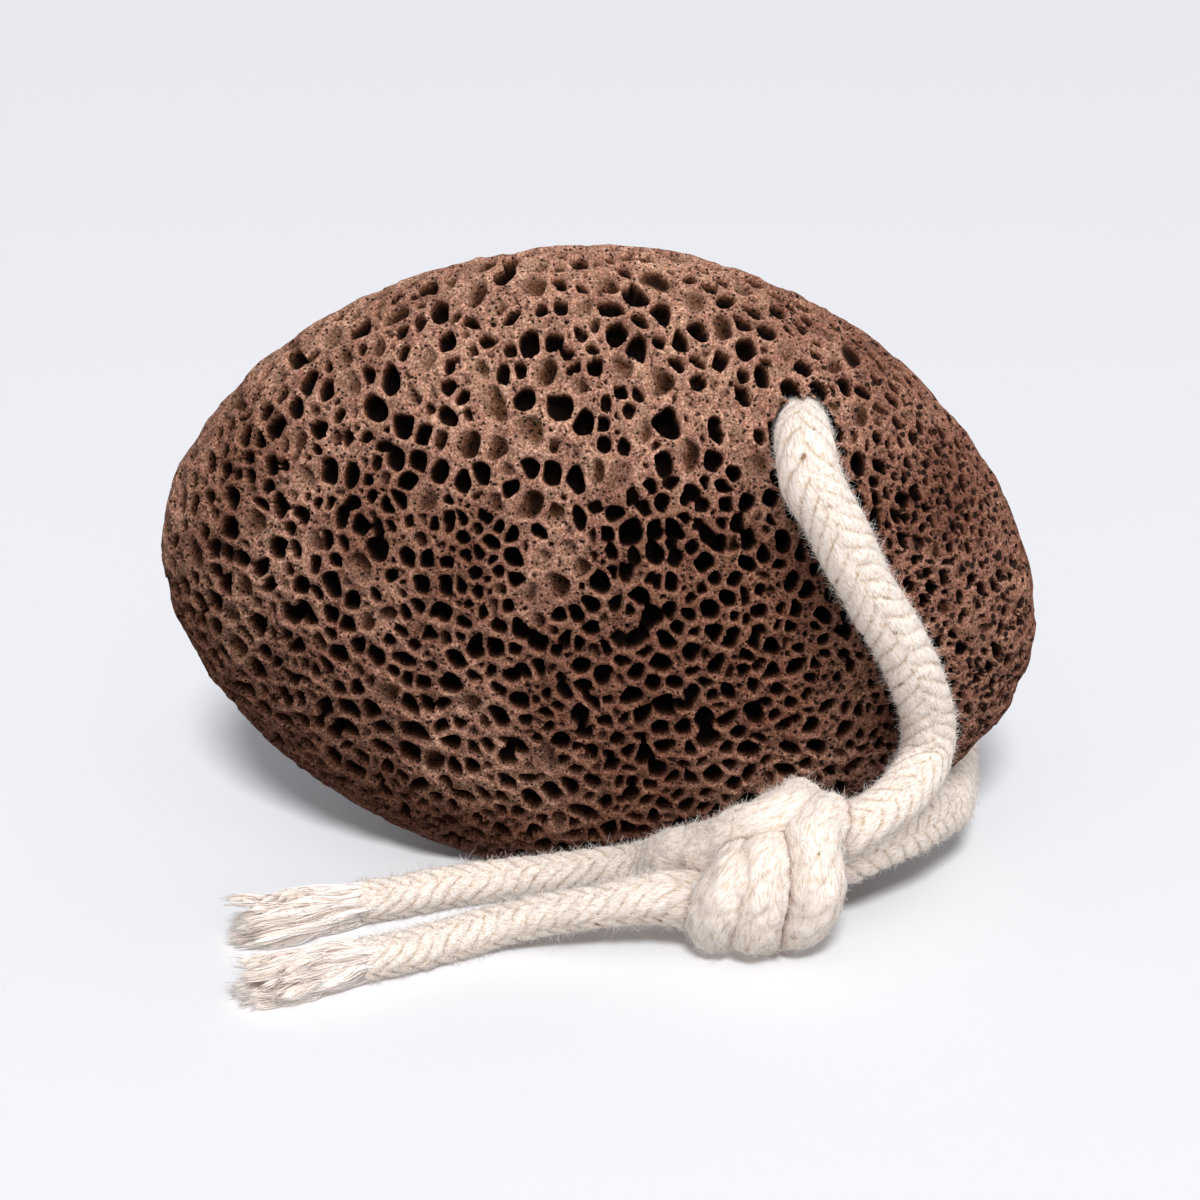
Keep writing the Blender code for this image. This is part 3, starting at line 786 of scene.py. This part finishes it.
# A strand's radii, as (length, radius): from the middle of the hole, from where the knot starts,
# and from where it ends.
FACE_RADII = np.array([(0.0, 2.95), (12.0, 2.95), (20.0, 3.4), (34.0, 3.1)]) * MM
TURN_RADII = np.array([(-22.0, 3.1), (-4.0, 2.75), (8.0, 3.3)]) * MM
TAIL_RADII = np.array([(-6.0, 3.3), (4.0, 2.3)]) * MM
# The fuzz: hairs to a strand, root's depth and spread, length's gamma shape and scale in mm, rise
# over reach, radius, and how far it keeps off the floor.
FUZZ_HAIRS = 36000
FUZZ_ROOT = 0.1 * MM
FUZZ_LENGTHS = (3.0, 0.19)
FUZZ_RISES = (0.2, 1.1)
FUZZ_RADIUS = 0.03 * MM
FUZZ_LIFT = 0.04 * MM
# A frayed end: how deep in the tail its yarns start, their number, points and turn from one to the
# next, their radius, shares of the end's reach, and the fan's radius where it leaves the tail.
FRAY_ROOT = 3.5 * MM
YARNS = 30
YARN_POINTS = 14
YARN_TURN = 2.399
YARN_RADIUS = 0.46 * MM
YARN_REACHES = (0.66, 1.1)
FAN_NECK = 1.7 * MM
FAN_RADIUS = 3.3 * MM
FAN_POWER = 0.8
# The yarns' waves, how far their tips sag, and how far they keep off the floor.
YARN_WAVE = 0.42 * MM
YARN_WAVE_RATES = (6.0, 14.0)
YARN_SAG = 0.9 * MM
YARN_LIFT = 0.5 * MM
# The loose fibres of a yarn: their number, radii in mm, how far they wind round it, how much longer
# or shorter they are in mm, and how far they keep off the floor.
FIBRES = 58
FIBRE_RADII = (0.06, 0.1)
FIBRE_TURNS = 3.5
FIBRE_STRETCHES = (-2.0, 0.9)
FIBRE_LIFT = 0.08 * MM


def route_points(*parts):
    """Carry a uniform Catmull-Rom curve through the parts' places, evenly spaced.

    Returns its points in metres, and how far along it each part starts.
    """
    through = np.vstack(parts) * MM
    padded = np.vstack([2.0 * through[0] - through[1], through, 2.0 * through[-1] - through[-2]])
    t = np.linspace(0.0, 1.0, CURVE_STEPS, endpoint=False)[:, None]
    pieces = [
        0.5 * (2.0 * p1 + (p2 - p0) * t + (2.0 * p0 - 5.0 * p1 + 4.0 * p2 - p3) * t ** 2
               + (3.0 * p1 - p0 - 3.0 * p2 + p3) * t ** 3)
        for p0, p1, p2, p3 in zip(padded, padded[1:], padded[2:], padded[3:])
    ]
    dense = np.vstack(pieces + [through[-1:]])
    run = np.concatenate([[0.0], np.cumsum(np.linalg.norm(np.diff(dense, axis=0), axis=1))])
    firsts = np.cumsum([0] + [len(part) for part in parts[:-1]]) * CURVE_STEPS
    steps = np.linspace(0.0, run[-1], int(run[-1] / CORD_STEP) + 1)
    line = np.stack([np.interp(steps, run, axis) for axis in dense.T], axis=1)
    return line, steps, run[firsts]


def frames_along(line, side=(1.0, 0.0, 0.2)):
    """Return unit tangents, and two sideways directions that turn no more than the line does."""
    tangents = np.gradient(line, axis=0)
    tangents /= np.linalg.norm(tangents, axis=1)[:, None]
    firsts = np.empty_like(tangents)
    current = np.array(side)
    for i, tangent in enumerate(tangents):
        current = current - tangent * (current @ tangent)
        current = current / np.linalg.norm(current)
        firsts[i] = current
    return tangents, firsts, np.cross(tangents, firsts)


def stitch_wander(run, angle):
    """Return how far stitches stray along a strand, in stitches: two slow sines of length and angle."""
    return 0.16 * np.sin(run / (5.1 * MM) + 2.0 * angle) + 0.12 * np.sin(run / (1.9 * MM) - 3.0 * angle)


def braid_height(run, angle, knot):
    """Return the braid's height from 0 to 1 at lengths along and angles round a strand.

    The strand has columns of stitches that lean to alternate sides, so two columns make a
    herringbone. A stitch is a half round lobe along the strand and an arch across its column.
    In the knot, where the cord is pulled tight, the stitches half give way to long bundles of
    fibre: the creases between them are where a mean of slanting waves round the strand passes zero.
    """
    column = angle / (2.0 * math.pi) * STITCH_COLUMNS
    number = np.floor(column)
    across = column - number - 0.5
    lean = np.where(number % 2 == 0, 1.0, -1.0)
    phase = run / STITCH_PITCH + lean * across * STITCH_SLANT + 0.5 * (number % 2)
    phase += stitch_wander(run, angle)
    lobe = np.sqrt(1.0 - 0.95 * np.abs(2.0 * (phase - np.floor(phase)) - 1.0) ** 2.4)
    arch = np.sqrt(1.0 - 0.6 * np.abs(2.0 * across) ** 3)
    bundles = sum(np.sin(turns * angle + slant * run / MM + start) for turns, slant, start in BUNDLE_WAVES)
    ridge = 1.0 - np.exp(-np.abs(bundles) * 1.6)
    return lobe * arch + BUNDLE_SHARE * knot * (0.3 + 0.7 * ridge - lobe * arch)


def make_strand(name, material, face, turns, tail, seed):
    """A braided strand: rings of radius r(s) plus relief along its route, rounded off at its ends.

    Returns the strand, its route's points, their lengths along it and radii, and the rings' points
    and outward directions.
    """
    line, run, (_, knot_from, knot_to) = route_points(face, KNOT + turns, tail)
    tangents, firsts, seconds = frames_along(line)
    radius = np.interp(
        run, *np.vstack([FACE_RADII, TURN_RADII + (knot_from, 0.0), TAIL_RADII + (knot_to, 0.0)]).T)
    inside = np.minimum(run - knot_from - TIGHT_FROM, knot_to - TIGHT_TO - run)
    knot = np.clip(inside / TIGHT_OVER, 0.0, 1.0)
    angle = np.linspace(0.0, 2.0 * math.pi, CORD_SIDES, endpoint=False)
    s, phi = np.meshgrid(run, angle, indexing="ij")
    height = braid_height(s, phi, knot[:, None])
    end = np.clip(1.0 - np.minimum(run, run[-1] - run) / END_ROUNDING, 0.0, 1.0)
    rounding = np.sqrt(np.clip(1.0 - end ** 2, 0.004, 1.0))
    spread = (radius[:, None] + (height - MEAN_HEIGHT) * STITCH_RELIEF) * rounding[:, None]
    out = np.cos(phi)[..., None] * firsts[:, None] + np.sin(phi)[..., None] * seconds[:, None]
    points = (line[:, None] + out * spread[..., None]).reshape(-1, 3)
    lumps = np.repeat(knot, CORD_SIDES) * KNOT_LUMPS[0] * waves(points, seed + 2, KNOT_LUMPS[1])
    for lump_seed, (lump, wavelength) in enumerate(LUMPS, seed):
        lumps += lump * waves(points, lump_seed, wavelength)
    points += out.reshape(-1, 3) * (lumps * np.repeat(rounding, CORD_SIDES))[:, None]
    points[:, 2] = np.maximum(points[:, 2], CORD_LIFT)
    mesh = mesh_from(name, points, tube_faces(len(run), CORD_SIDES))
    lay_out_stitches(mesh, run)
    close_ends(mesh, CORD_SIDES)
    # How deep a place lies in the braid's relief: the cotton paints shade by it.
    mark(mesh, "crease", 1.0 - height)
    mark(mesh, "tightness", np.repeat(knot, CORD_SIDES))
    return piece_from(mesh, material), line, run, radius, points.reshape(*phi.shape, 3), out


def press_creases(strand, rings, run, others):
    """Mark where a strand lies against cord, for the shade painted in its folds: weight * exp(-gap / reach)
    for the nearest other turn.

    others holds the line, lengths and radii of each strand, and whether it is the strand's own:
    that one counts only where it is a loop of the knot farther along.
    """
    places = rings.reshape(-1, 3)
    lengths = np.repeat(run, CORD_SIDES)
    touch = np.zeros(len(places))
    for line, line_run, radius, own in others:
        gap = np.full(len(places), OWN_LOOP)
        for place, at, size in zip(line[::6], line_run[::6], radius[::6]):
            away = np.linalg.norm(places - place, axis=1) - size
            if own:
                away[np.abs(lengths - at) < OWN_LOOP] = OWN_LOOP
            gap = np.minimum(gap, away)
        weight = 1.0 if own else SHARED_FOLD
        touch = np.maximum(touch, weight * np.exp(-np.maximum(gap, 0.0) / CREASE_REACH))
    mark(strand.data, "touch", touch)


def lay_out_stitches(mesh, run):
    """Give a strand a map of its stitches: columns round it, and stitches along it with their wander."""
    rows, columns = np.meshgrid(np.arange(len(run) - 1), np.arange(CORD_SIDES), indexing="ij")
    turns = np.stack([columns, columns + 1, columns + 1, columns], axis=-1) / CORD_SIDES
    lengths = run[np.stack([rows, rows, rows + 1, rows + 1], axis=-1)]
    along = lengths / STITCH_PITCH + stitch_wander(lengths, turns * 2.0 * math.pi)
    layout = np.stack([turns * STITCH_COLUMNS, along], axis=-1).astype(np.float32)
    mesh.uv_layers.new(name="stitches").data.foreach_set("uv", layout.ravel())


def threads(name, material, lines, radii, sides=3):
    """Many thin threads in one mesh: each has a ring of a few sides at every point but its last.

    At the last point the sides meet, and the first ring is closed by a fan. lines is an array of
    threads x points x 3, and radii is threads x (points - 1).
    """
    count, steps, _ = lines.shape
    tangents = np.gradient(lines, axis=1)
    tangents /= np.linalg.norm(tangents, axis=2)[..., None] + 1e-12
    helper = np.where(np.abs(tangents[..., 2:3]) < 0.8, [0.0, 0.0, 1.0], [1.0, 0.0, 0.0])
    first = np.cross(tangents, helper)
    first /= np.linalg.norm(first, axis=2)[..., None]
    second = np.cross(tangents, first)
    turns = np.arange(sides) * 2.0 * math.pi / sides
    ring = np.cos(turns)[:, None] * first[:, :-1, None] + np.sin(turns)[:, None] * second[:, :-1, None]
    rings = lines[:, :-1, None] + ring * radii[..., None, None]
    points = np.concatenate([rings.reshape(count, -1, 3), lines[:, -1:]], axis=1)
    size = points.shape[1]
    starts = np.arange(count) * size
    ids = starts[:, None, None] + np.arange(size - 1).reshape(steps - 1, sides)
    following = np.roll(ids, -1, axis=2)
    tips = np.broadcast_to((starts + size - 1)[:, None], (count, sides))
    faces = [
        np.stack([ids[:, :-1], following[:, :-1], following[:, 1:]], axis=-1),
        np.stack([ids[:, :-1], following[:, 1:], ids[:, 1:]], axis=-1),
        np.stack([ids[:, -1], following[:, -1], tips], axis=-1),
    ]
    faces += [
        np.stack([ids[:, 0, 0], ids[:, 0, corner + 1], ids[:, 0, corner]], axis=-1)
        for corner in range(1, sides - 1)
    ]
    triangles = np.concatenate([part.reshape(-1, 3) for part in faces])
    return piece_from(mesh_from(name, points.reshape(-1, 3), triangles), material)


def make_fuzz(name, material, rings, out, seed):
    """Short fine hairs that stand out of a strand's surface at all slants, each a straight taper."""
    chance = np.random.default_rng(seed)
    rows = chance.integers(4, rings.shape[0] - 4, FUZZ_HAIRS)
    columns = chance.integers(0, rings.shape[1], FUZZ_HAIRS)
    outward = out[rows, columns]
    roots = rings[rows, columns] + (chance.normal(size=(FUZZ_HAIRS, 3)) - outward) * FUZZ_ROOT
    along = chance.normal(size=(FUZZ_HAIRS, 3))
    along -= (along * outward).sum(axis=1)[:, None] * outward
    along /= np.linalg.norm(along, axis=1)[:, None]
    length = chance.gamma(*FUZZ_LENGTHS, FUZZ_HAIRS)[:, None] * MM
    rise = chance.uniform(*FUZZ_RISES, FUZZ_HAIRS)[:, None]
    lines = np.stack([roots, roots + (outward * rise + along) * length], axis=1)
    lines[..., 2] = np.maximum(lines[..., 2], FUZZ_LIFT)
    return threads(name, material, lines, np.full((FUZZ_HAIRS, 1), FUZZ_RADIUS))


def make_fray(name, material, line, reach, seed):
    """The unravelled end of a tail: wavy yarns that fan out of it, and looser fibres round each.

    The yarns start as a sunflower's seeds lie, at radii that are roots of their shares, and the fan
    widens with a power of the way t along them. A fibre winds round its yarn and drifts off it.
    """
    chance = np.random.default_rng(seed)
    forward, first, second = (directions[-1] for directions in frames_along(line))
    t = np.linspace(0.0, 1.0, YARN_POINTS)[None, :]
    turn = (np.arange(YARNS) * YARN_TURN)[:, None]
    share = np.sqrt((np.arange(YARNS) + 0.5) / YARNS)[:, None]
    total = reach * chance.uniform(*YARN_REACHES, (YARNS, 1)) + FRAY_ROOT
    fan = (FAN_NECK + (FAN_RADIUS - FAN_NECK) * t ** FAN_POWER) * share
    sideways, upwards = (
        YARN_WAVE * t ** 0.5 * np.sin(
            t * chance.uniform(*YARN_WAVE_RATES, (YARNS, 1)) + chance.uniform(0.0, 6.28, (YARNS, 1)))
        for _ in range(2)
    )
    lines = line[-1] + forward * (t * total - FRAY_ROOT)[..., None]
    lines += first * (fan * np.cos(turn) + sideways)[..., None]
    lines += second * (fan * np.sin(turn) + upwards)[..., None]
    lines[..., 2] = np.maximum(lines[..., 2] - YARN_SAG * t ** 2, YARN_LIFT)
    radii = YARN_RADIUS * (1.0 - 0.3 * t ** 6) * chance.uniform(0.8, 1.15, (YARNS, 1))
    yarns = threads(name, material, lines, radii[:, :-1], sides=7)
    many = (YARNS * FIBRES, 1)
    start = chance.uniform(0.0, 2.0 * math.pi, many)
    off = (YARN_RADIUS * (0.85 + 0.8 * t * chance.uniform(0.0, 1.0, many)))[..., None]
    winding = (start + t * chance.uniform(-FIBRE_TURNS, FIBRE_TURNS, many))[..., None]
    hair = np.repeat(lines, FIBRES, axis=0) + off * (first * np.cos(winding) + second * np.sin(winding))
    hair += forward * (t * chance.uniform(*FIBRE_STRETCHES, many) * MM)[..., None]
    hair[..., 2] = np.maximum(hair[..., 2], FIBRE_LIFT)
    hair_radii = chance.uniform(*FIBRE_RADII, many) * MM * (1.0 - 0.4 * t ** 4)
    return yarns, threads(name + "_fibres", material, hair, hair_radii[:, :-1])


# ------------------------ studio
CAMERA_LENS = 100.0
CAMERA_ELEVATION = math.radians(18.0)
CAMERA_DISTANCE = 384.0 * MM
CAMERA_AIM = Vector((-0.17, 0.0, 31.5)) * MM
FLOOR_HALF = 3.0
# Far lights: the direction each shines from, its apparent size in degrees and its strength. The
# overhead and the key light stone and cord, the card and the bounce light the cord, as a low
# reflector and the floor do, and the wash lights the floor.
FAR_LIGHTS = {
    "overhead": ((0.06, -0.48, 0.87), 40.0, 2.35),
    "key": ((0.74, -0.45, 0.50), 10.0, 1.55),
    "card": ((-0.40, -0.91, 0.12), 60.0, 1.2),
    "wash": ((0.0, -0.78, 0.62), 10.0, 3.2),
    "bounce": ((-0.15, -0.55, -0.82), 90.0, 1.0),
}
# The soft box in front: its place, its width, its power and what it faces.
SOFT_BOX = ((0.0, -0.45, 0.4), 0.5, 0.75, Vector((0.0, 0.0, 0.03)))


def look_at(item, target):
    """Turn a camera or light to face a point."""
    item.rotation_euler = (target - item.location).to_track_quat("-Z", "Y").to_euler()


def make_camera():
    """Place the camera a little above the stone, facing its broad side."""
    camera = bpy.data.objects.new("camera", bpy.data.cameras.new("camera"))
    camera.data.lens = CAMERA_LENS
    camera.data.clip_start = 0.01
    camera.data.clip_end = 50.0
    back = Vector((0.0, -math.cos(CAMERA_ELEVATION), math.sin(CAMERA_ELEVATION)))
    camera.location = CAMERA_AIM + CAMERA_DISTANCE * back
    look_at(camera, CAMERA_AIM)
    bpy.context.scene.collection.objects.link(camera)
    bpy.context.scene.camera = camera


def make_light(name, kind, place, target, strength):
    """Place a light that faces a point, and return it."""
    light = bpy.data.objects.new(name, bpy.data.lights.new(name, kind))
    light.data.energy = strength
    light.location = place
    look_at(light, target)
    bpy.context.scene.collection.objects.link(light)
    return light


def make_studio():
    """A pale floor and surround, the far lights, and a soft box in front; returns the floor.

    The floor throws no light back, because the bounce stands for it on the cord, and the stone's
    underside stays dark.
    """
    world = bpy.data.worlds.new("pale surround")
    bpy.context.scene.world = world
    world.use_nodes = True
    backdrop = world.node_tree.nodes["Background"]
    backdrop.inputs["Color"].default_value = linear("f4f4f8")
    backdrop.inputs["Strength"].default_value = 0.3
    corners = np.array([[-1, -1, 0], [1, -1, 0], [1, 1, 0], [-1, 1, 0]]) * FLOOR_HALF
    card, shader = new_material("white card", 0.9, 0.1)
    shader["Base Color"].default_value = linear("f3f4f8")
    floor = piece_from(mesh_from("floor", corners, np.array([[0, 1, 2, 3]])), card)
    floor.visible_diffuse = False
    for name, (direction, angle, strength) in FAR_LIGHTS.items():
        make_light(name, "SUN", direction, Vector(), strength).data.angle = math.radians(angle)
    place, width, power, target = SOFT_BOX
    make_light("front", "AREA", place, target, power).data.size = width
    bpy.context.scene.view_settings.view_transform = "Standard"
    return floor


def shine_only_on(name, pieces):
    """Let a light shine only on some pieces, as flags beside a lamp do, and return their group."""
    lit = bpy.data.collections.new("lit_by_" + name)
    for piece in pieces:
        lit.objects.link(piece)
    bpy.data.objects[name].light_linking.receiver_collection = lit
    return lit


# ------------------------ the whole
make_camera()
floor = make_studio()
cotton = cotton_material()
fibre = fibre_material("loose cotton fibre", "f3e8dd")
yarn = fibre_material("unravelled cotton yarn", "ffefe3")
front_strand, *front_course, front_rings, front_out = make_strand(
    "front_strand", cotton, FRONT_FACE, FRONT_TURNS, FRONT_TAIL, 21)
back_strand, *back_course, back_rings, back_out = make_strand(
    "back_strand", cotton, BACK_FACE, BACK_TURNS, BACK_TAIL, 25)
press_creases(front_strand, front_rings, front_course[1], ((*front_course, True), (*back_course, False)))
press_creases(back_strand, back_rings, back_course[1], ((*back_course, True), (*front_course, False)))
front_fuzz = make_fuzz("front_fuzz", fibre, front_rings, front_out, 31)
back_fuzz = make_fuzz("back_fuzz", fibre, back_rings, back_out, 32)
front_fray = make_fray("front_fray", yarn, front_course[0], 12.0 * MM, 41)
back_fray = make_fray("back_fray", yarn, back_course[0], 13.0 * MM, 42)
stone = make_stone(lava_material())
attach(stone, "root")
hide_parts("pumice_stone")
cord_pieces = (front_strand, back_strand, front_fuzz, back_fuzz, *front_fray, *back_fray)
for piece in cord_pieces:
    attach(piece, "root")
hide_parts("cord_front_strand", "cord_knot", "cord_tail_lower")
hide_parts("cord_back_strand", "cord_tail_upper")

shine_only_on("overhead", (stone, *cord_pieces))
lit_by_key = shine_only_on("key", (stone, *cord_pieces))
shine_only_on("card", cord_pieces)
shine_only_on("wash", (floor,))
shine_only_on("bounce", cord_pieces)
# The bounce comes from below, so the floor doesn't shade it.
bpy.data.objects["bounce"].light_linking.blocker_collection = lit_by_key
